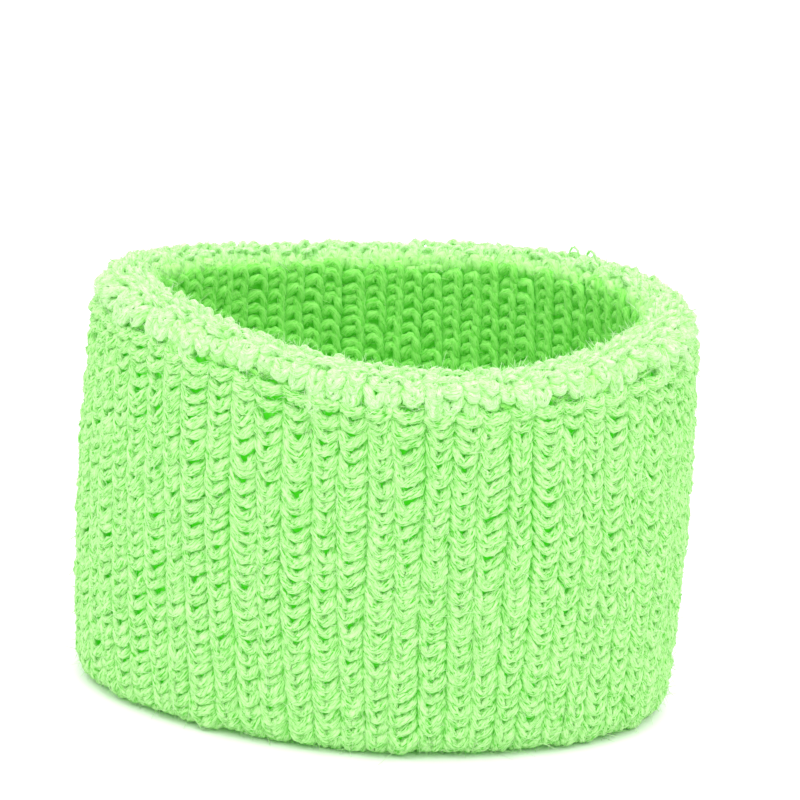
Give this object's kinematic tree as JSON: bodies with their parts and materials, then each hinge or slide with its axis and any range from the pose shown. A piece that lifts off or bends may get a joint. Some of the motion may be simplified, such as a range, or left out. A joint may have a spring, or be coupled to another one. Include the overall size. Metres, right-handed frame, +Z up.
{
  "type": "sweat wristband",
  "caption": "Short oval tube of thick rib knit, folded double, with a looped rim, a linked seam under it and elastic inside; it is worn round the wrist to soak up sweat.",
  "frame": {"origin": "centre of the footprint, on the surface that the band stands on", "axes": "+Z up along the tube, out of its looped rim; +X along the longer way across the oval; the rim is highest at the back, +Y"},
  "size_m": [0.062, 0.0508, 0.0465],
  "materials": {
    "rib_knit": "woolly neon-green acrylic rib knit, matt and slightly fuzzy",
    "linking_thread": "matt green sewing yarn, sunk in its groove",
    "covered_elastic": "rubber core wrapped in pale green yarn"
  },
  "bodies": {
    "root": {"outer_ply": "rib_knit", "inner_ply": "rib_knit", "rim_fold": "rib_knit", "base_fold": "rib_knit", "seam_thread": "linking_thread", "elastic_strand_1": "covered_elastic", "elastic_strand_2": "covered_elastic", "elastic_strand_3": "covered_elastic", "elastic_strand_4": "covered_elastic", "elastic_strand_5": "covered_elastic", "elastic_strand_6": "covered_elastic", "elastic_strand_7": "covered_elastic", "elastic_strand_8": "covered_elastic"}
  },
  "joints": []
}
